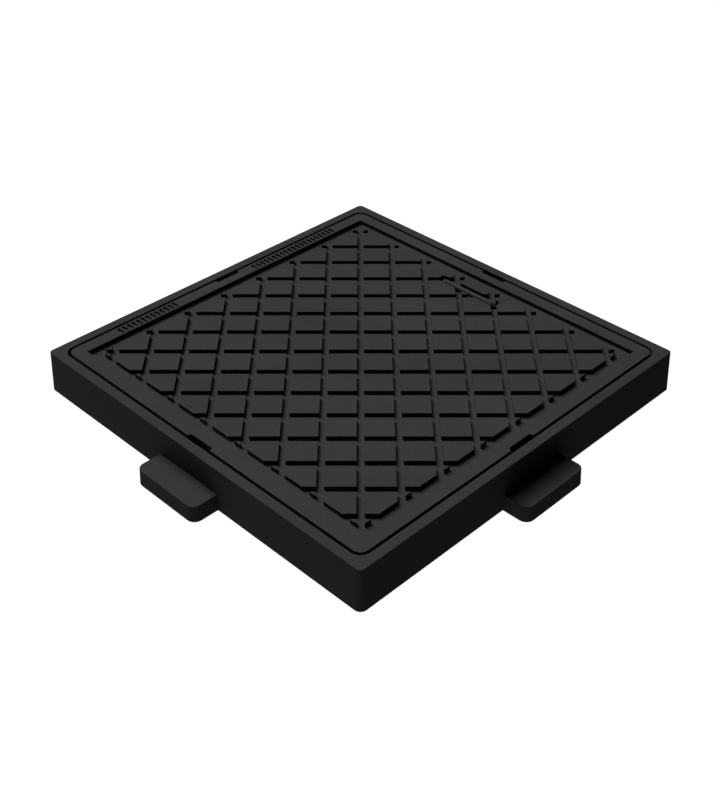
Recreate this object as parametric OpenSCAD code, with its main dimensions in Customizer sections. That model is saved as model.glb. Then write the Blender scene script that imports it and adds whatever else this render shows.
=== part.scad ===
// Square access cover in its frame, moulded in black composite, with a pull-up lifting handle.
// The origin is at the centre of the frame's underside. +Z is up, -Y is the front, and the
// handle is near the +Y edge. All sizes are in millimetres.

/* [Frame] */
// Outside width of the frame at its top edge
frame_side = 600; // [480:10:800]
// Height of the frame, and of the closed cover
frame_h = 61; // [50:1:80]
// Radius of the frame's outer corners at the top
frame_corner_r = 6; // [3:0.5:12]
// Draft of the outer walls and lugs in degrees, wider towards the foot
wall_draft = 3.6; // [1:0.2:5]
// Width of the frame's top land, outside the lid
land_w = 14; // [10:0.5:20]
// Width of the ledge that carries the lid
ledge_w = 25.5; // [20:0.5:32]
// Thickness of the ledge
ledge_t = 22; // [14:1:26]
// Corner radius of the clear opening
opening_corner_r = 10; // [4:1:20]

/* [Fixing lugs] */
// Width of each lug along the frame's side
lug_w = 112; // [80:2:150]
// Reach of each lug past the frame's top edge
lug_reach = 40.5; // [25:0.5:60]
// Thickness of each lug
lug_t = 23.5; // [12:0.5:30]
// Radius of the lug's outer corners
lug_corner_r = 11; // [5:1:18]

/* [Frame coring] */
// Length of one moulding pocket under the ledge
core_len = 52; // [30:2:60]
// Width of each pocket, across the ledge
core_w = 28; // [16:1:30]
// Depth of each pocket, from below
core_depth = 14; // [8:1:16]
// Web left between two pockets
core_web = 8; // [5:1:14]
// Lip left between the pockets and the clear opening
core_lip = 6; // [4:0.5:9]

/* [Seat gasket] */
// Thickness of the gasket
gasket_t = 4; // [2:0.5:6]
// Width of the gasket's flat strip
gasket_w = 14; // [11:0.5:18]
// Space between the gasket and the frame's inner wall
gasket_clear = 1.5; // [0.5:0.25:2.5]

/* [Lid] */
// Gap all round between the lid and the frame
lid_gap = 4.2; // [2:0.1:6]
// Corner radius of the lid
lid_corner_r = 12; // [6:1:20]
// Width of the flat rim round the lid
rim_w = 19; // [12:1:30]
// Depth of the sunk field inside the rim
field_depth = 6; // [3:0.5:8]
// Thickness of the plate under the field
plate_t = 8; // [6:0.5:12]
// Thickness of the skirt that stands on the gasket
skirt_t = 10; // [8:0.5:14]
// Thickness of each rib under the plate
rib_t = 5; // [4:0.5:8]
// Smallest distance between two ribs
rib_pitch_min = 66; // [60:1:90]
// Height of the rib ends above the skirt's foot
rib_rise = 2; // [1:0.5:6]

/* [Raised pads] */
// Distance between two grooves, across the diamonds
pad_pitch = 47.75; // [30:0.25:70]
// Width of the grooves between the pads
groove_w = 9.3; // [5:0.1:12]
// Flat margin between the rim's step and the pads
pad_margin = 14.5; // [8:0.5:24]

/* [Pry notches] */
// Width of each notch at the lid's edge
notch_w = 44; // [30:1:60]
// Width of each notch at its back
notch_back_w = 39; // [20:0.5:58]
// Cut of each notch into the lid's edge
notch_in = 5; // [3:0.5:6]
// Depth of each notch below the lid's top
notch_depth = 20; // [12:1:24]

/* [Rim marks] */
// Length of each plain mark, across the rim
mark_len = 12.5; // [6:0.5:14]
// Width of each mark
mark_w = 4.6; // [2:0.2:5]
// Distance between two marks
mark_pitch = 8; // [6:0.5:12]
// Depth of the marks
mark_depth = 3; // [0.8:0.2:4]
// Marks in the group nearer the front
marks_front = 13; // [4:1:16]
// Marks in the group nearer the handle
marks_back = 21; // [4:1:24]
// Middle of the front group, in front of the lid's centre
marks_front_y = 152; // [130:1:180]
// Middle of the back group, behind the lid's centre
marks_back_y = 127; // [100:1:130]

/* [Lifting handle] */
// Diameter of the handle's steel rod
rod_d = 8; // [6:0.5:10]
// Length of the handle over its bends
handle_len = 104.4; // [80:0.2:110]
// Radius of the rod's bends, to the middle of the rod
bend_r = 6; // [5.5:0.5:9]
// Distance from the lid's back edge to the rod
handle_inset = 58.7; // [52:0.1:70]
// Space on each side of the rod in its trough
trough_clear = 4; // [1:0.5:6]
// Space at each end of the rod in its trough
trough_end_clear = 3; // [1:0.5:6]
// Corner radius of the trough
trough_corner_r = 5; // [0.5:0.5:5]
// Space under the rod where it rests
rod_rest_gap = 0.3; // [0.2:0.1:0.5]
// Length of the deeper scoop for a hook, under the rod
scoop_len = 52; // [30:2:60]
// Depth of the scoop below the trough's floor
scoop_depth = 5.7; // [4.5:0.1:7]
// Space between the rod's end and the ground
rod_end_clear = 2.6; // [2:0.2:5]

/* [Handle guides and fasteners] */
// Outside diameter of the guide bushes
bush_d = 12; // [11:0.5:14]
// Diameter of the bush's flange
bush_flange_d = 18; // [15:0.5:20]
// Thickness of the bush's flange
bush_flange_t = 2; // [1.5:0.5:3]
// Running clearance between rod and bush, on the radius
run_clear = 0.1; // [0.05:0.01:0.2]
// Boss left round the bushes
boss_wall = 7; // [5:0.5:9]
// Boss left under the plate
boss_drop = 5; // [3:0.5:8]
// Depth of the bush's top below the trough's floor
bush_sink = 2.2; // [2:0.1:3]
// Outside diameter of the washers
washer_d = 16; // [14:0.5:17]
// Thickness of the washers
washer_t = 1.6; // [1:0.1:2.5]
// Clearance between rod and washer, on the radius
washer_clear = 0.2; // [0.1:0.05:0.4]
// Width of the nuts across their flats
nut_af = 13; // [12:0.5:15]
// Height of the nuts
nut_h = 6.5; // [5:0.5:8]
// Rod that shows below the nut
rod_tail = 1; // [0.5:0.5:3]
// Gap between washer and bush when the handle is fully up
stop_gap = 0.3; // [0.2:0.1:0.5]

/* [Hidden] */
// Bites that let a cut run clear past a face
cut = 1;
$fn = 96;
hull_fn = 48;

// Frame
frame_half = frame_side / 2;
pocket_half = frame_half - land_w;
opening_half = pocket_half - ledge_w;
seat_z = ledge_t;
lug_root = lug_corner_r + 1;
core_pitch = core_len + core_web;
core_count = floor((2 * opening_half - 2 * core_lip) / core_pitch);
core_y = opening_half + core_lip + core_w / 2;

// Gasket and lid
gasket_half = pocket_half - gasket_clear;
lid_half = pocket_half - lid_gap;
pocket_corner_r = lid_corner_r + lid_gap;
lid_z = seat_z + gasket_t;
skirt_in = lid_half - skirt_t;
skirt_corner_r = lid_corner_r - skirt_t / 2;
field_half = lid_half - rim_w;
field_z = frame_h - field_depth;
plate_z = field_z - plate_t;
pad_half = field_half - pad_margin;
groove_reach = ceil(pad_half * sqrt(2) / pad_pitch);
rib_cells = floor(skirt_in / rib_pitch_min);
rib_pitch = skirt_in / rib_cells;
rib_z = lid_z + rib_rise;

// Handle, from its rod down to the stop
rod_r = rod_d / 2;
leg_x = handle_len / 2 - rod_r;
handle_y = lid_half - handle_inset;
grip_z = frame_h - rod_r;
trough_z = frame_h - rod_d - rod_rest_gap;
boss_z = plate_z - boss_drop;
bush_top_z = trough_z - bush_sink;
flange_z = boss_z - bush_flange_t;
rod_end_z = rod_end_clear;
nut_z = rod_end_z + rod_tail;
washer_z = nut_z + nut_h;
handle_travel = flange_z - stop_gap - washer_z - washer_t;

// Outline with round corners, from plain rectangles and true circles.
module rounded_rect(x_half, y_half, r) {
    square([2 * x_half, 2 * (y_half - r)], center = true);
    square([2 * (x_half - r), 2 * y_half], center = true);
    for (sx = [-1, 1], sy = [-1, 1])
        translate([sx * (x_half - r), sy * (y_half - r)]) circle(r);
}

module rounded_square(half, r) {
    rounded_rect(half, half, r);
}

// Block with round corners that widens towards its foot by the mould's draft.
module drafted_block(x_half, y_half, r, h) {
    flare = h * tan(wall_draft);
    hull()
        for (sx = [-1, 1], sy = [-1, 1])
            translate([sx * (x_half - r), sy * (y_half - r), 0])
                cylinder(h = h, r1 = r + flare, r2 = r, $fn = hull_fn);
}

// One lug on the front side. Its root is buried in the frame's wall.
module lug() {
    lug_len = lug_reach + lug_root;
    translate([0, -(frame_half + lug_reach - lug_len / 2), 0])
        drafted_block(lug_w / 2, lug_len / 2, lug_corner_r, lug_t);
}

// Row of moulding pockets under the front ledge.
module core_row() {
    for (i = [0 : core_count - 1])
        translate([(i - (core_count - 1) / 2) * core_pitch, -core_y, core_depth / 2 - cut / 2])
            cube([core_len, core_w, core_depth + cut], center = true);
}

module frame() {
    color("#1f1f1f")
        difference() {
            union() {
                drafted_block(frame_half, frame_half, frame_corner_r, frame_h);
                for (turn = [0 : 90 : 270]) rotate(turn) lug();
            }
            translate([0, 0, seat_z])
                linear_extrude(frame_h)
                    rounded_square(pocket_half, pocket_corner_r);
            translate([0, 0, -cut])
                linear_extrude(frame_h)
                    rounded_square(opening_half, opening_corner_r);
            for (turn = [0 : 90 : 270]) rotate(turn) core_row();
        }
}

module seat_gasket() {
    color("#101010")
        translate([0, 0, seat_z])
            linear_extrude(gasket_t)
                difference() {
                    rounded_square(gasket_half, pocket_corner_r - gasket_clear);
                    rounded_square(gasket_half - gasket_w, skirt_corner_r);
                }
}

// Skirt, rim and plate, still without pads, ribs or cuts.
module lid_shell() {
    difference() {
        translate([0, 0, lid_z])
            linear_extrude(frame_h - lid_z)
                rounded_square(lid_half, lid_corner_r);
        translate([0, 0, lid_z - cut])
            linear_extrude(plate_z - lid_z + cut)
                rounded_square(skirt_in, skirt_corner_r);
        translate([-field_half, -field_half, field_z])
            cube([2 * field_half, 2 * field_half, field_depth + cut]);
    }
}

// Diamond pads, which are what two crossed sets of grooves leave of a square.
module pads() {
    translate([0, 0, field_z])
        linear_extrude(field_depth)
            difference() {
                square(2 * pad_half, center = true);
                for (turn = [-45, 45], i = [-groove_reach : groove_reach])
                    rotate(turn)
                        translate([i * pad_pitch, 0])
                            square([groove_w, 4 * pad_half], center = true);
            }
}

// Ribs both ways under the plate, ending inside the skirt.
module ribs() {
    rib_len = 2 * skirt_in + skirt_t;
    for (turn = [0, 90], i = [1 - rib_cells : rib_cells - 1])
        rotate(turn)
            translate([i * rib_pitch - rib_t / 2, -rib_len / 2, rib_z])
                cube([rib_t, rib_len, plate_z - rib_z + plate_t / 2]);
}

// Solid block under the trough that holds both bushes.
module handle_boss() {
    boss_x = leg_x + bush_d / 2 + boss_wall;
    boss_y = bush_d / 2 + boss_wall;
    translate([-boss_x, handle_y - boss_y, boss_z])
        cube([2 * boss_x, 2 * boss_y, plate_z - boss_z + plate_t / 2]);
}

// Trough for the rod, the scoop under it, and the bores for the bushes.
module handle_cuts() {
    trough_x = handle_len / 2 + trough_end_clear;
    trough_y = rod_r + trough_clear;
    translate([0, handle_y, trough_z])
        linear_extrude(frame_h - trough_z + cut)
            rounded_rect(trough_x, trough_y, trough_corner_r);
    translate([-scoop_len / 2, handle_y - trough_y, trough_z - scoop_depth])
        cube([scoop_len, 2 * trough_y, scoop_depth + cut]);
    for (side = [-1, 1])
        translate([side * leg_x, handle_y, boss_z - cut])
            cylinder(h = trough_z - boss_z + 2 * cut, d = bush_d);
}

// Pry notch in the front edge, wider at the mouth than at the back.
module notch() {
    slope = (notch_w - notch_back_w) / 2 / notch_in;
    mouth_w = notch_w + 2 * slope * cut;
    translate([0, -lid_half, frame_h - notch_depth])
        linear_extrude(notch_depth + cut)
            polygon([[-mouth_w / 2, -cut], [mouth_w / 2, -cut],
                     [notch_back_w / 2, notch_in], [-notch_back_w / 2, notch_in]]);
}

// Row of plain marks in the left rim, centred at y.
module mark_row(count, y) {
    rim_mid = lid_half - rim_w / 2;
    for (i = [0 : count - 1])
        translate([-rim_mid, y + (i - (count - 1) / 2) * mark_pitch, frame_h])
            cube([mark_len, mark_w, 2 * mark_depth], center = true);
}

module lid() {
    color("#262626")
        difference() {
            union() {
                lid_shell();
                pads();
                ribs();
                handle_boss();
            }
            handle_cuts();
            for (turn = [0 : 90 : 270]) rotate(turn) notch();
            mark_row(marks_front, -marks_front_y);
            mark_row(marks_back, marks_back_y);
        }
}

// U of round rod: a grip, two bends and two legs.
module lift_handle() {
    grip_half = leg_x - bend_r;
    color("#2c2c2c")
        translate([0, handle_y, 0]) {
            translate([0, 0, grip_z])
                rotate([0, 90, 0]) cylinder(h = 2 * grip_half, r = rod_r, center = true);
            for (side = [0, 1])
                mirror([side, 0, 0]) {
                    translate([grip_half, 0, grip_z - bend_r])
                        rotate([90, 0, 0])
                            rotate_extrude(angle = 90) translate([bend_r, 0]) circle(rod_r);
                    translate([leg_x, 0, rod_end_z])
                        cylinder(h = grip_z - bend_r - rod_end_z, r = rod_r);
                }
        }
}

// Flanged bush, pressed into the boss from below.
module handle_bush(side) {
    color("#383838")
        translate([side * leg_x, handle_y, 0])
            difference() {
                union() {
                    translate([0, 0, boss_z])
                        cylinder(h = bush_top_z - boss_z, d = bush_d);
                    translate([0, 0, flange_z])
                        cylinder(h = bush_flange_t, d = bush_flange_d);
                }
                translate([0, 0, flange_z - cut])
                    cylinder(h = bush_top_z - flange_z + 2 * cut, r = rod_r + run_clear);
            }
}

module handle_washer(side) {
    color("#8c8c8c")
        translate([side * leg_x, handle_y, washer_z])
            difference() {
                cylinder(h = washer_t, d = washer_d);
                translate([0, 0, -cut])
                    cylinder(h = washer_t + 2 * cut, r = rod_r + washer_clear);
            }
}

module handle_nut(side) {
    color("#8c8c8c")
        translate([side * leg_x, handle_y, nut_z])
            difference() {
                cylinder(h = nut_h, d = nut_af / cos(30), $fn = 6);
                translate([0, 0, -cut]) cylinder(h = nut_h + 2 * cut, r = rod_r);
            }
}

frame();
seat_gasket();
lid();
lift_handle();
handle_bush(-1);  // handle_bush_left
handle_bush(1);  // handle_bush_right
handle_washer(-1);  // handle_washer_left
handle_washer(1);  // handle_washer_right
handle_nut(-1);  // handle_nut_left
handle_nut(1);  // handle_nut_right
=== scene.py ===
import math

import bmesh
import bpy
from mathutils import Matrix, Vector


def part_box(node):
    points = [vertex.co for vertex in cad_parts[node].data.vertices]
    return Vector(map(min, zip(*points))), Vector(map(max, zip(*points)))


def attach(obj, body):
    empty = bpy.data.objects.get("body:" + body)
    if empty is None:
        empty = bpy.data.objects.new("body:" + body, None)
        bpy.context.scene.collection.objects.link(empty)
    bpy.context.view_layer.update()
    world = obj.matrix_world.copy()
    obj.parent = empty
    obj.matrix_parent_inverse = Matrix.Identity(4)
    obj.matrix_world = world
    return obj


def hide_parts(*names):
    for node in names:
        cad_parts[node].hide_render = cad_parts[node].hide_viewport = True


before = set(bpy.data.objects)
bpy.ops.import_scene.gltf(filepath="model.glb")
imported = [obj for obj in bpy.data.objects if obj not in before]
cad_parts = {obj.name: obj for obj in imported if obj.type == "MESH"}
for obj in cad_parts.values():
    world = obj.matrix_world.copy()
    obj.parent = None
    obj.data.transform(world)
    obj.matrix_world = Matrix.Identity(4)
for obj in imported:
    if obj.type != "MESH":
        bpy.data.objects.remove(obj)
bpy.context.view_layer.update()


# Camera. A long lens looks down on the frame's near corner, so the diamond pads run
# straight across the view and away from it.
top_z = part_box("frame")[1].z
camera_place = (0.98947, -0.99029, 0.95665)
camera_dip = math.radians(36.44)
camera_data = bpy.data.cameras.new("camera")
camera_data.lens = 56.48
camera_data.clip_end = 50
camera = bpy.data.objects.new("camera", camera_data)
bpy.context.scene.collection.objects.link(camera)
bpy.context.scene.camera = camera
camera.location = Vector(camera_place) + Vector((0, 0, top_z))
camera.rotation_euler = (math.pi / 2 - camera_dip, 0, math.pi / 4)


# Studio. A white lit sweep that fills the view and throws no light of its own, two soft
# lights one above the other on the left, and a weak fill from low in front for the walls.
white_paint = bpy.data.materials.new("white_paint")
white_paint.use_nodes = True
paint = white_paint.node_tree.nodes["Principled BSDF"]
paint.inputs["Base Color"].default_value = (0.05, 0.05, 0.05, 1)
paint.inputs["Roughness"].default_value = 0.9
paint.inputs["Emission Color"].default_value = (1, 1, 1, 1)
paint.inputs["Emission Strength"].default_value = 1.0
bpy.ops.mesh.primitive_plane_add(size=30)
floor = bpy.context.object
floor.name = "floor"
floor.data.materials.append(white_paint)
floor.visible_diffuse = False
floor.visible_glossy = False
floor.visible_shadow = False

for name, energy, toward in (("key_light_high", 1.44, (0.57, -0.09, -1.0)),
                             ("key_light_low", 2.78, (1.107, -0.09, -1.0))):
    key_data = bpy.data.lights.new(name, "SUN")
    key_data.energy = energy
    key_data.angle = math.radians(30)
    key_light = bpy.data.objects.new(name, key_data)
    bpy.context.scene.collection.objects.link(key_light)
    key_light.rotation_euler = Vector(toward).to_track_quat("-Z", "Y").to_euler()

surround = bpy.data.worlds.new("surround")
surround.use_nodes = True
sky = surround.node_tree
sky_place = sky.nodes.new("ShaderNodeTexCoord")
sky_aim = sky.nodes.new("ShaderNodeVectorMath")
sky_aim.operation = "DOT_PRODUCT"
sky_aim.inputs[1].default_value = Vector((0.02, -0.35, -0.94)).normalized()
sky_level = sky.nodes.new("ShaderNodeMapRange")
sky_level.inputs["From Min"].default_value = 0.15
sky_level.inputs["From Max"].default_value = 1.0
sky_level.inputs["To Min"].default_value = 0.02
sky_level.inputs["To Max"].default_value = 0.82
sky.links.new(sky_place.outputs["Generated"], sky_aim.inputs[0])
sky.links.new(sky_aim.outputs["Value"], sky_level.inputs["Value"])
sky_seen = sky.nodes.new("ShaderNodeLightPath")
sky_strength = sky.nodes.new("ShaderNodeMath")
sky_strength.operation = "MAXIMUM"
sky.links.new(sky_level.outputs["Result"], sky_strength.inputs[0])
sky.links.new(sky_seen.outputs["Is Camera Ray"], sky_strength.inputs[1])
sky.links.new(sky_strength.outputs["Value"], sky.nodes["Background"].inputs["Strength"])
sky.nodes["Background"].inputs["Color"].default_value = (1, 1, 1, 1)
bpy.context.scene.world = surround
bpy.context.scene.view_settings.view_transform = "Standard"


# Frame. One compression moulding in black glass-filled composite: four drafted walls round a
# ledge for the lid, pockets cored out from below, and a fixing lug on each side.
frame_half = 0.300
frame_corner = 0.006
wall_draft = math.radians(3.6)
land_width = 0.014
ledge_width = 0.0255
ledge_top = 0.022
pocket_corner = 0.0162
opening_corner = 0.010
lug_half_width = 0.056
lug_reach = 0.0405
lug_thickness = 0.0235
lug_corner = 0.011
lug_bite = 0.001
core_size = Vector((0.052, 0.028, 0.014))
core_web = 0.008
core_lip = 0.006
core_count = 8
pocket_half = frame_half - land_width
opening_half = pocket_half - ledge_width
round_steps = 10
# How far a cutting block stands out past the face that it cuts through.
overcut = 0.001


def add_ring(bm, x_half, y_half, corner, z, centre=(0, 0)):
    """Adds a level loop of edges, a rectangle with round corners, and returns the edges."""
    made = bmesh.ops.create_grid(bm, x_segments=1, y_segments=1, size=1)["verts"]
    bmesh.ops.scale(bm, vec=(x_half, y_half, 1), verts=made)
    bmesh.ops.translate(bm, vec=(centre[0], centre[1], z), verts=made)
    rounded = bmesh.ops.bevel(bm, geom=made, offset=corner, offset_type="OFFSET",
                              segments=round_steps, profile=0.5, affect="VERTICES",
                              material=-1)
    face = next(f for f in bm.faces if all(v in set(rounded["verts"]) for v in f.verts))
    edges = list(face.edges)
    bmesh.ops.delete(bm, geom=[face], context="FACES_ONLY")
    return edges


def add_block(bm, rings):
    """Adds a closed block through level rings, each (x_half, y_half, corner, z), and caps it."""
    centre = rings[0][4] if len(rings[0]) > 4 else (0, 0)
    loops = [add_ring(bm, *ring[:4], centre=centre) for ring in rings]
    for lower, upper in zip(loops, loops[1:]):
        bmesh.ops.bridge_loops(bm, edges=lower + upper)
    for end in (loops[0], loops[-1]):
        bmesh.ops.contextual_create(bm, geom=end)


def join_round(bm, loops):
    """Joins level loops into a closed ring, each to the next and the last to the first."""
    for lower, upper in zip(loops, loops[1:] + loops[:1]):
        bmesh.ops.bridge_loops(bm, edges=lower + upper)


def turn_to_side(bm, verts, side):
    """Turns vertices from the front side to side 0 to 3: front, right, back or left."""
    bmesh.ops.rotate(bm, matrix=Matrix.Rotation(side * math.pi / 2, 3, "Z"), verts=verts)


def add_box(bm, low, high):
    """Adds a plain box between two corners."""
    low, high = Vector(low), Vector(high)
    place = Matrix.Translation((low + high) / 2) @ Matrix.Diagonal((*(high - low), 1))
    return bmesh.ops.create_cube(bm, size=1, matrix=place)["verts"]


def to_object(bm, name):
    """Turns a closed bmesh into an object at the origin, with its faces pointing outwards."""
    bmesh.ops.remove_doubles(bm, verts=bm.verts[:], dist=1e-6)
    bmesh.ops.recalc_face_normals(bm, faces=bm.faces[:])
    mesh = bpy.data.meshes.new(name)
    bm.to_mesh(mesh)
    bm.free()
    piece = bpy.data.objects.new(name, mesh)
    bpy.context.scene.collection.objects.link(piece)
    return piece


def bake(piece):
    """Applies every modifier on the piece, in place."""
    bpy.context.view_layer.update()
    graph = bpy.context.evaluated_depsgraph_get()
    mesh = bpy.data.meshes.new_from_object(piece.evaluated_get(graph))
    piece.modifiers.clear()
    piece.data = mesh


def shape_with(piece, tool, operation):
    """Joins, cuts or keeps the piece with another solid, which is used up."""
    step = piece.modifiers.new(operation, "BOOLEAN")
    step.operation = operation
    step.solver = "EXACT"
    step.object = tool
    bake(piece)
    bpy.data.objects.remove(tool)


def ease_edges(piece, width, steps=2, sharper_than=30):
    """Rounds off every edge that a mould or a tool would leave slightly soft."""
    bm = bmesh.new()
    bm.from_mesh(piece.data)
    bmesh.ops.remove_doubles(bm, verts=bm.verts[:], dist=2e-6)
    bmesh.ops.dissolve_limit(bm, angle_limit=math.radians(0.5), verts=bm.verts[:],
                             edges=bm.edges[:])
    bm.to_mesh(piece.data)
    bm.free()
    bevel = piece.modifiers.new("eased_edges", "BEVEL")
    bevel.width = width
    bevel.segments = steps
    bevel.limit_method = "ANGLE"
    bevel.angle_limit = math.radians(sharper_than)
    bevel.use_clamp_overlap = False
    bevel.harden_normals = True
    for face in piece.data.polygons:
        face.use_smooth = True
    bake(piece)


def shade_round(piece, sharper_than):
    """Shades a piece as round, with a hard line at each edge sharper than this many degrees."""
    for face in piece.data.polygons:
        face.use_smooth = True
    piece.data.set_sharp_from_angle(angle=math.radians(sharper_than))


def flare(height):
    """How far a drafted wall stands out, this far below its top edge."""
    return height * math.tan(wall_draft)


bm = bmesh.new()
foot = flare(top_z)
section = [(frame_half + foot, frame_corner + foot, 0), (frame_half, frame_corner, top_z),
           (pocket_half, pocket_corner, top_z), (pocket_half, pocket_corner, ledge_top),
           (opening_half, opening_corner, ledge_top), (opening_half, opening_corner, 0)]
loops = [add_ring(bm, half, half, corner, z) for half, corner, z in section]
join_round(bm, loops)
frame_piece = to_object(bm, "frame_moulding")

lug_root = lug_corner + lug_bite
lug_half_length = (lug_reach + lug_root) / 2
for side in range(4):
    bm = bmesh.new()
    centre = (0, -(frame_half + lug_reach - lug_half_length))
    lug_foot = flare(lug_thickness)
    add_block(bm, [(lug_half_width + lug_foot, lug_half_length + lug_foot,
                    lug_corner + lug_foot, 0, centre),
                   (lug_half_width, lug_half_length, lug_corner, lug_thickness, centre)])
    turn_to_side(bm, bm.verts[:], side)
    shape_with(frame_piece, to_object(bm, "lug"), "UNION")

bm = bmesh.new()
core_y = opening_half + core_lip + core_size.y / 2
for side in range(4):
    made = []
    for i in range(core_count):
        x = (i - (core_count - 1) / 2) * (core_size.x + core_web)
        made += add_box(bm, (x - core_size.x / 2, -core_y - core_size.y / 2, -overcut),
                        (x + core_size.x / 2, -core_y + core_size.y / 2, core_size.z))
    turn_to_side(bm, made, side)
shape_with(frame_piece, to_object(bm, "cores"), "DIFFERENCE")
ease_edges(frame_piece, 0.0005)


def moulded_composite(name, colour, grain):
    """Matte black composite: fine pressed grain, faint cloudiness and slight sheen changes."""
    material = bpy.data.materials.new(name)
    material.use_nodes = True
    nodes = material.node_tree.nodes
    links = material.node_tree.links
    shader = nodes["Principled BSDF"]
    shader.inputs["IOR"].default_value = 1.5
    shader.inputs["Specular IOR Level"].default_value = 0.05
    place = nodes.new("ShaderNodeTexCoord")

    def noise(scale, detail, roughness=0.5):
        node = nodes.new("ShaderNodeTexNoise")
        node.inputs["Scale"].default_value = scale
        node.inputs["Detail"].default_value = detail
        node.inputs["Roughness"].default_value = roughness
        links.new(place.outputs["Object"], node.inputs["Vector"])
        return node

    clouds = noise(9, 4)
    flecks = noise(650, 2, 0.6)
    tint = nodes.new("ShaderNodeValToRGB")
    tint.color_ramp.elements[0].position = 0.3
    tint.color_ramp.elements[0].color = (*[c * 0.86 for c in colour], 1)
    tint.color_ramp.elements[1].position = 0.7
    tint.color_ramp.elements[1].color = (*[c * 1.1 for c in colour], 1)
    links.new(clouds.outputs["Fac"], tint.inputs["Fac"])
    speckle = nodes.new("ShaderNodeValToRGB")
    speckle.color_ramp.elements[0].position = 0.25
    speckle.color_ramp.elements[0].color = (0.78, 0.78, 0.78, 1)
    speckle.color_ramp.elements[1].position = 0.75
    speckle.color_ramp.elements[1].color = (1.15, 1.15, 1.15, 1)
    links.new(flecks.outputs["Fac"], speckle.inputs["Fac"])
    mix = nodes.new("ShaderNodeMix")
    mix.data_type = "RGBA"
    mix.blend_type = "MULTIPLY"
    mix.inputs["Factor"].default_value = 1
    links.new(tint.outputs["Color"], mix.inputs["A"])
    links.new(speckle.outputs["Color"], mix.inputs["B"])
    links.new(mix.outputs["Result"], shader.inputs["Base Color"])

    sheen = nodes.new("ShaderNodeMapRange")
    sheen.inputs["To Min"].default_value = 0.68
    sheen.inputs["To Max"].default_value = 0.84
    links.new(clouds.outputs["Fac"], sheen.inputs["Value"])
    links.new(sheen.outputs["Result"], shader.inputs["Roughness"])

    pores = nodes.new("ShaderNodeTexVoronoi")
    pores.inputs["Scale"].default_value = 1 / grain
    links.new(place.outputs["Object"], pores.inputs["Vector"])
    fine = nodes.new("ShaderNodeBump")
    fine.inputs["Strength"].default_value = 0.25
    fine.inputs["Distance"].default_value = 0.0002
    links.new(pores.outputs["Distance"], fine.inputs["Height"])
    waviness = nodes.new("ShaderNodeBump")
    waviness.inputs["Strength"].default_value = 0.15
    waviness.inputs["Distance"].default_value = 0.0006
    links.new(noise(38, 3).outputs["Fac"], waviness.inputs["Height"])
    links.new(fine.outputs["Normal"], waviness.inputs["Normal"])
    links.new(waviness.outputs["Normal"], shader.inputs["Normal"])
    return material


def grained_material(name, scale, detail, dark, light, roughness, relief,
                     specular=0.5, metallic=0):
    """A material whose colour and relief follow a fine noise. Its roughness is one value, or a
    range that follows the noise too, and its relief is a bump's (strength, distance)."""
    material = bpy.data.materials.new(name)
    material.use_nodes = True
    nodes = material.node_tree.nodes
    links = material.node_tree.links
    shader = nodes["Principled BSDF"]
    shader.inputs["Specular IOR Level"].default_value = specular
    shader.inputs["Metallic"].default_value = metallic
    place = nodes.new("ShaderNodeTexCoord")
    grain = nodes.new("ShaderNodeTexNoise")
    grain.inputs["Scale"].default_value = scale
    grain.inputs["Detail"].default_value = detail
    links.new(place.outputs["Object"], grain.inputs["Vector"])
    tint = nodes.new("ShaderNodeValToRGB")
    tint.color_ramp.elements[0].color = (*dark, 1)
    tint.color_ramp.elements[1].color = (*light, 1)
    links.new(grain.outputs["Fac"], tint.inputs["Fac"])
    links.new(tint.outputs["Color"], shader.inputs["Base Color"])
    if isinstance(roughness, tuple):
        sheen = nodes.new("ShaderNodeMapRange")
        sheen.inputs["To Min"].default_value = roughness[0]
        sheen.inputs["To Max"].default_value = roughness[1]
        links.new(grain.outputs["Fac"], sheen.inputs["Value"])
        links.new(sheen.outputs["Result"], shader.inputs["Roughness"])
    else:
        shader.inputs["Roughness"].default_value = roughness
    bump = nodes.new("ShaderNodeBump")
    bump.inputs["Strength"].default_value = relief[0]
    bump.inputs["Distance"].default_value = relief[1]
    links.new(grain.outputs["Fac"], bump.inputs["Height"])
    links.new(bump.outputs["Normal"], shader.inputs["Normal"])
    return material


def finish_piece(piece, material, slot, body, *nodes):
    """Gives a piece its one material, seats it on its body and lets it stand for CAD nodes."""
    piece.data.materials.clear()
    piece.data.materials.append(material)
    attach(piece, body)
    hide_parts(*nodes)


frame_composite = moulded_composite("frame_composite", (0.034, 0.034, 0.0345), 0.0009)
finish_piece(frame_piece, frame_composite, "frame_composite", "frame", "frame")


# Seat gasket. An extruded strip of black rubber, joined into a square and laid on the ledge.
# Two soft beads along its top take the lid's skirt.
gasket_low, gasket_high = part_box("seat_gasket")
gasket_space = 0.0015
gasket_width = 0.014
gasket_half = pocket_half - gasket_space
gasket_corner = pocket_corner - gasket_space
inner_corner = 0.007
strip_top = gasket_high.z - 0.0012
bead_side = gasket_high.z - 0.0003
# Each step is (distance in from the outer edge, height), once round the section.
gasket_section = [(0, gasket_low.z), (0, strip_top),
                  (0.001, bead_side), (0.0025, gasket_high.z), (0.004, bead_side),
                  (0.005, strip_top), (0.009, strip_top),
                  (0.010, bead_side), (0.0115, gasket_high.z), (0.013, bead_side),
                  (gasket_width, strip_top), (gasket_width, gasket_low.z)]
bm = bmesh.new()
loops = []
for inward, z in gasket_section:
    corner = gasket_corner + (inner_corner - gasket_corner) * inward / gasket_width
    loops.append(add_ring(bm, gasket_half - inward, gasket_half - inward, corner, z))
join_round(bm, loops)
gasket_piece = to_object(bm, "gasket_strip")
shade_round(gasket_piece, 50)

gasket_rubber = grained_material("gasket_rubber", 60, 6, (0.012, 0.012, 0.012),
                                 (0.03, 0.03, 0.031), 0.8, (0.2, 0.0002))
finish_piece(gasket_piece, gasket_rubber, "gasket_rubber", "frame", "seat_gasket")


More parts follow.
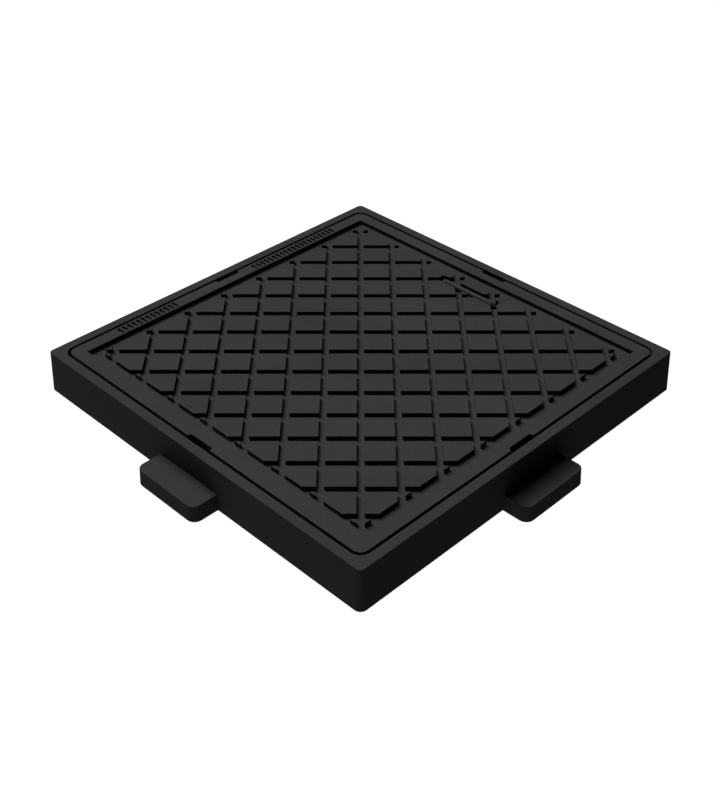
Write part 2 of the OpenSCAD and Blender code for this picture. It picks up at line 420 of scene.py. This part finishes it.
# Lid. One moulding in the same composite: a flat rim round a sunk field of diamond pads, a
# skirt and a grid of ribs below, a boss for the handle, and a pry notch in each edge.
lid_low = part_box("lid")[0]
lid_space = 0.0042
lid_half = pocket_half - lid_space
lid_corner = 0.012
rim_width = 0.019
field_depth = 0.006
plate_thickness = 0.008
skirt_thickness = 0.010
rib_thickness = 0.005
rib_cells = 4
rib_rise = 0.002
pad_pitch = 0.04775
groove_width = 0.0093
pad_margin = 0.0145
pad_root = 0.0005
field_half = lid_half - rim_width
field_z = top_z - field_depth
plate_z = field_z - plate_thickness
skirt_in = lid_half - skirt_thickness
rib_pitch = skirt_in / rib_cells
rib_z = lid_low.z + rib_rise

bm = bmesh.new()
add_block(bm, [(lid_half, lid_half, lid_corner, lid_low.z),
               (lid_half, lid_half, lid_corner, top_z)])
lid_piece = to_object(bm, "lid_moulding")

bm = bmesh.new()
add_box(bm, (-field_half, -field_half, field_z), (field_half, field_half, top_z + overcut))
add_block(bm, [(skirt_in, skirt_in, lid_corner - skirt_thickness / 2, lid_low.z - overcut),
               (skirt_in, skirt_in, lid_corner - skirt_thickness / 2, rib_z)])
shape_with(lid_piece, to_object(bm, "field_and_skirt"), "DIFFERENCE")

bm = bmesh.new()
for column in range(-rib_cells, rib_cells):
    for row in range(-rib_cells, rib_cells):
        low, high = [], []
        for cell in (column, row):
            low.append(cell * rib_pitch + (rib_thickness / 2 if cell > -rib_cells else 0))
            high.append((cell + 1) * rib_pitch
                        - (rib_thickness / 2 if cell + 1 < rib_cells else 0))
        add_box(bm, (*low, rib_z - overcut), (*high, plate_z))
shape_with(lid_piece, to_object(bm, "rib_cells"), "DIFFERENCE")

# The pads are what crossed grooves leave of a square, pressed up from the field.
pad_half = field_half - pad_margin
groove_reach = math.ceil(pad_half * math.sqrt(2) / pad_pitch)
diagonals = [Vector((1, 1, 0)).normalized(), Vector((1, -1, 0)).normalized()]
bm = bmesh.new()
bmesh.ops.create_grid(bm, x_segments=1, y_segments=1, size=pad_half)
for across in diagonals:
    for i in range(-groove_reach, groove_reach + 1):
        for edge in (-1, 1):
            cut_at = across * (i * pad_pitch + edge * groove_width / 2)
            bmesh.ops.bisect_plane(bm, geom=bm.verts[:] + bm.edges[:] + bm.faces[:],
                                   plane_co=cut_at, plane_no=across, dist=1e-7)


def in_groove(face):
    """True where a face of the cut square lies in a groove."""
    centre = face.calc_center_median()
    offsets = [abs((centre.dot(across) + pad_pitch / 2) % pad_pitch - pad_pitch / 2)
               for across in diagonals]
    return min(offsets) < groove_width / 2


bmesh.ops.delete(bm, geom=[f for f in bm.faces if in_groove(f)], context="FACES")
bmesh.ops.translate(bm, vec=(0, 0, field_z - pad_root), verts=bm.verts[:])
raised = bmesh.ops.extrude_face_region(bm, geom=bm.faces[:], use_keep_orig=True)
bmesh.ops.translate(bm, vec=(0, 0, field_depth + pad_root),
                    verts=[v for v in raised["geom"] if isinstance(v, bmesh.types.BMVert)])
shape_with(lid_piece, to_object(bm, "pads"), "UNION")

# The boss for the handle, then its trough, its hook scoop and the two bores.
handle_low, handle_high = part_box("lift_handle")
rod_radius = (handle_high.y - handle_low.y) / 2
handle_y = (handle_low.y + handle_high.y) / 2
leg_x = handle_high.x - rod_radius
legs = (("left", -leg_x), ("right", leg_x))
bush_radius = 0.006
boss_wall = 0.007
boss_drop = 0.005
boss_z = plate_z - boss_drop
trough_space = 0.004
trough_end_space = 0.003
trough_corner = 0.005
trough_clear = 0.0003
trough_x = handle_high.x + trough_end_space
trough_y = rod_radius + trough_space
trough_z = top_z - 2 * rod_radius - trough_clear
scoop_half = 0.026
scoop_depth = 0.0057
scoop_z = trough_z - scoop_depth
bore_tool_height = 0.03
boss_x = leg_x + bush_radius + boss_wall
boss_y = bush_radius + boss_wall
bm = bmesh.new()
add_box(bm, (-boss_x, handle_y - boss_y, boss_z),
        (boss_x, handle_y + boss_y, plate_z + plate_thickness / 2))
shape_with(lid_piece, to_object(bm, "boss"), "UNION")

bm = bmesh.new()
add_block(bm, [(trough_x, trough_y, trough_corner, trough_z, (0, handle_y)),
               (trough_x, trough_y, trough_corner, top_z + overcut)])
shape_with(lid_piece, to_object(bm, "trough"), "DIFFERENCE")
bm = bmesh.new()
add_box(bm, (-scoop_half, handle_y - trough_y, scoop_z),
        (scoop_half, handle_y + trough_y, trough_z + overcut))
for side in (-1, 1):
    bmesh.ops.create_cone(bm, cap_ends=True, segments=48, radius1=bush_radius,
                          radius2=bush_radius, depth=bore_tool_height,
                          matrix=Matrix.Translation((side * leg_x, handle_y, boss_z)))
shape_with(lid_piece, to_object(bm, "scoop_and_bores"), "DIFFERENCE")

# Pry notches, wider at the mouth, and two groups of plain marks in the left rim.
notch_half = 0.022
notch_back_half = 0.0195
notch_in = 0.005
notch_depth = 0.020
mouth_half = notch_half + (notch_half - notch_back_half) / notch_in * overcut
bm = bmesh.new()
for side in range(4):
    made = add_box(bm, (-1, -lid_half - overcut, top_z - notch_depth),
                   (1, -lid_half + notch_in, top_z + overcut))
    for vert in made:
        vert.co.x *= mouth_half if vert.co.y < -lid_half else notch_back_half
    turn_to_side(bm, made, side)
mark_size = Vector((0.0125, 0.0046, 0.003))
mark_pitch = 0.008
# Each row is (how many marks, where the middle of the row lies along the rim).
mark_rows = ((13, -0.152), (21, 0.127))
for count, middle in mark_rows:
    for i in range(count):
        x = -(lid_half - rim_width / 2)
        y = middle + (i - (count - 1) / 2) * mark_pitch
        add_box(bm, (x - mark_size.x / 2, y - mark_size.y / 2, top_z - mark_size.z),
                (x + mark_size.x / 2, y + mark_size.y / 2, top_z + overcut))
shape_with(lid_piece, to_object(bm, "notches_and_marks"), "DIFFERENCE")
ease_edges(lid_piece, 0.0002)

lid_composite = moulded_composite("lid_composite", (0.036, 0.036, 0.0365), 0.0008)
finish_piece(lid_piece, lid_composite, "lid_composite", "lid", "lid")


# Handle. A round steel rod bent into a U, dipped in satin black, with a rolled thread at the
# foot of each leg. It lies flush in the trough and slides up through the bushes.
bend_radius = 0.006
rod_sides = 32
thread_top = 0.0145
thread_pitch = 0.00125
thread_root = 0.0035
rod_foot = handle_low.z
grip_z = top_z - rod_radius
bend_z = grip_z - bend_radius
thread_lead = rod_radius - thread_root
plain_leg = bend_z - thread_top - thread_lead
bend_steps = 12


def grow(bm, edges, move, radius=None):
    """Extrudes a ring of edges by a move, and sets the new ring's radius if one is given."""
    made = bmesh.ops.extrude_edge_only(bm, edges=edges)["geom"]
    verts = [v for v in made if isinstance(v, bmesh.types.BMVert)]
    bmesh.ops.translate(bm, vec=move, verts=verts)
    if radius:
        centre = sum((v.co for v in verts), Vector()) / len(verts)
        for vert in verts:
            vert.co = centre + (vert.co - centre).normalized() * radius
    return [e for e in made if isinstance(e, bmesh.types.BMEdge)
            and all(v in set(verts) for v in e.verts)]


def turn_bend(bm, edges, centre_x):
    """Sweeps a ring of edges a quarter turn round a bend's centre and returns the last ring."""
    made = bmesh.ops.spin(bm, geom=edges, cent=(centre_x, handle_y, bend_z), axis=(0, 1, 0),
                          angle=math.pi / 2, steps=bend_steps)
    return [e for e in made["geom_last"] if isinstance(e, bmesh.types.BMEdge)]


bm = bmesh.new()
bmesh.ops.create_circle(bm, cap_ends=True, segments=rod_sides, radius=thread_root,
                        matrix=Matrix.Translation((-leg_x, handle_y, rod_foot)))
edges = bm.edges[:]
edges = grow(bm, edges, (0, 0, thread_top - rod_foot))
edges = grow(bm, edges, (0, 0, thread_lead), rod_radius)
edges = grow(bm, edges, (0, 0, plain_leg))
edges = turn_bend(bm, edges, -leg_x + bend_radius)
edges = grow(bm, edges, (2 * (leg_x - bend_radius), 0, 0))
edges = turn_bend(bm, edges, leg_x - bend_radius)
edges = grow(bm, edges, (0, 0, -plain_leg))
edges = grow(bm, edges, (0, 0, -thread_lead), thread_root)
edges = grow(bm, edges, (0, 0, -(thread_top - rod_foot)))
bmesh.ops.contextual_create(bm, geom=edges)
handle_piece = to_object(bm, "handle_rod")

# The threads: a small ridge swept up each leg's foot as a helix. Each corner of the ridge is
# (distance from the leg's axis, height above the helix's start).
thread_start = rod_foot + 0.0002
ridge_in = thread_root - 0.0003
ridge_out = rod_radius - 0.00003
ridge_corners = ((ridge_in, 0), (ridge_out, 0.0004), (ridge_out, 0.0006), (ridge_in, 0.001))
turns = int((thread_top - rod_foot) / thread_pitch) - 1
steps_per_turn = 24
bm = bmesh.new()
for side in (-1, 1):
    ridge = [bm.verts.new((side * leg_x + out, handle_y, thread_start + up))
             for out, up in ridge_corners]
    profile = bm.faces.new(ridge)
    bmesh.ops.spin(bm, geom=[profile], cent=(side * leg_x, handle_y, 0),
                   axis=(0, 0, 1), angle=turns * 2 * math.pi,
                   dvec=(0, 0, thread_pitch / steps_per_turn), steps=turns * steps_per_turn)
shape_with(handle_piece, to_object(bm, "threads"), "UNION")
shade_round(handle_piece, 35)

black_coat = grained_material("black_coat", 700, 2, (0.029, 0.029, 0.03),
                              (0.037, 0.037, 0.038), 0.6, (0.15, 0.0001), specular=0.08)
finish_piece(handle_piece, black_coat, "handle_steel", "handle", "lift_handle")


# Guide bushes. Two flanged sleeves in black nylon, pushed up into the boss from below so
# the rod's legs run quietly; the flange takes the stop washer.
def spin_solid(bm, points, centre, steps=64):
    """Spins a closed section, given as (radius, height) points, once round an upright axis."""
    verts = [bm.verts.new((centre[0] + radius, centre[1], z)) for radius, z in points]
    edges = [bm.edges.new(pair) for pair in zip(verts, verts[1:] + verts[:1])]
    bmesh.ops.spin(bm, geom=verts + edges, cent=(*centre, 0), axis=(0, 0, 1),
                   angle=2 * math.pi, steps=steps, use_merge=True)


bush_slide = 0.0001
bush_bore = rod_radius + bush_slide
bush_chamfer = 0.0004
bush_nylon = grained_material("bush_nylon", 220, 4, (0.02, 0.02, 0.021),
                              (0.035, 0.035, 0.036), 0.5, (0.1, 0.0001), specular=0.15)
for side, x in legs:
    node = "handle_bush_" + side
    bush_low, bush_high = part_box(node)
    flange_radius = (bush_high.x - bush_low.x) / 2
    bm = bmesh.new()
    spin_solid(bm, [(bush_bore, bush_low.z + bush_chamfer),
                    (bush_bore + bush_chamfer, bush_low.z),
                    (flange_radius - bush_chamfer, bush_low.z),
                    (flange_radius, bush_low.z + bush_chamfer),
                    (flange_radius, boss_z), (bush_radius, boss_z),
                    (bush_radius, bush_high.z - bush_chamfer),
                    (bush_radius - bush_chamfer, bush_high.z),
                    (bush_bore + bush_chamfer, bush_high.z),
                    (bush_bore, bush_high.z - bush_chamfer)], (x, handle_y))
    bush_piece = to_object(bm, node + "_sleeve")
    shade_round(bush_piece, 30)
    finish_piece(bush_piece, bush_nylon, "bush_nylon", "lid", node)


# Stop washers and nuts. Stamped washers and chamfered hexagon nuts in zinc-plated steel, one
# of each on a leg's thread; they stop the handle when it is drawn up.
zinc_plate = grained_material("zinc_plate", 420, 5, (0.42, 0.43, 0.45), (0.62, 0.63, 0.64),
                              (0.28, 0.5), (0.15, 0.00005), metallic=1)
washer_slide = 0.0002
washer_bore = rod_radius + washer_slide
washer_roll = 0.0004
# A nut is flat out to nut_face at each end, and slopes off from there to its corners.
nut_flat = 0.013
nut_corner = nut_flat / math.sqrt(3)
nut_face = nut_flat / 2 * 0.95
nut_slope = math.radians(30)
nut_drop = (nut_corner - nut_face) * math.tan(nut_slope)
nut_over = 0.0001
nut_bore = rod_radius - nut_over
nut_lead = 0.0004
for side, x in legs:
    node = "handle_washer_" + side
    washer_low, washer_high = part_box(node)
    washer_radius = (washer_high.x - washer_low.x) / 2
    bm = bmesh.new()
    rolled = washer_radius - washer_roll
    spin_solid(bm, [(washer_bore, washer_low.z), (washer_radius, washer_low.z),
                    (washer_radius, washer_high.z - washer_roll),
                    (rolled + washer_roll * 0.7, washer_high.z - washer_roll * 0.3),
                    (rolled, washer_high.z), (washer_bore + washer_roll, washer_high.z),
                    (washer_bore, washer_high.z - washer_roll)], (x, handle_y))
    washer_piece = to_object(bm, node + "_ring")
    shade_round(washer_piece, 35)
    finish_piece(washer_piece, zinc_plate, "fastener_steel", "handle", node)

    node = "handle_nut_" + side
    nut_low, nut_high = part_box(node)
    place = Matrix.Translation((x, handle_y, (nut_low.z + nut_high.z) / 2))
    if nut_high.x - nut_low.x < nut_high.y - nut_low.y:
        place = place @ Matrix.Rotation(math.pi / 6, 4, "Z")
    bm = bmesh.new()
    bmesh.ops.create_cone(bm, cap_ends=True, segments=6, radius1=nut_corner,
                          radius2=nut_corner, depth=nut_high.z - nut_low.z, matrix=place)
    nut_piece = to_object(bm, node + "_hexagon")
    bm = bmesh.new()
    spin_solid(bm, [(nut_bore, nut_low.z + nut_lead),
                    (rod_radius + nut_lead, nut_low.z - nut_over),
                    (nut_face, nut_low.z - nut_over), (nut_corner, nut_low.z + nut_drop),
                    (nut_corner, nut_high.z - nut_drop), (nut_face, nut_high.z + nut_over),
                    (rod_radius + nut_lead, nut_high.z + nut_over),
                    (nut_bore, nut_high.z - nut_lead)], (x, handle_y))
    shape_with(nut_piece, to_object(bm, "nut_chamfers"), "INTERSECT")
    shade_round(nut_piece, 20)
    finish_piece(nut_piece, zinc_plate, "fastener_steel", "handle", node)
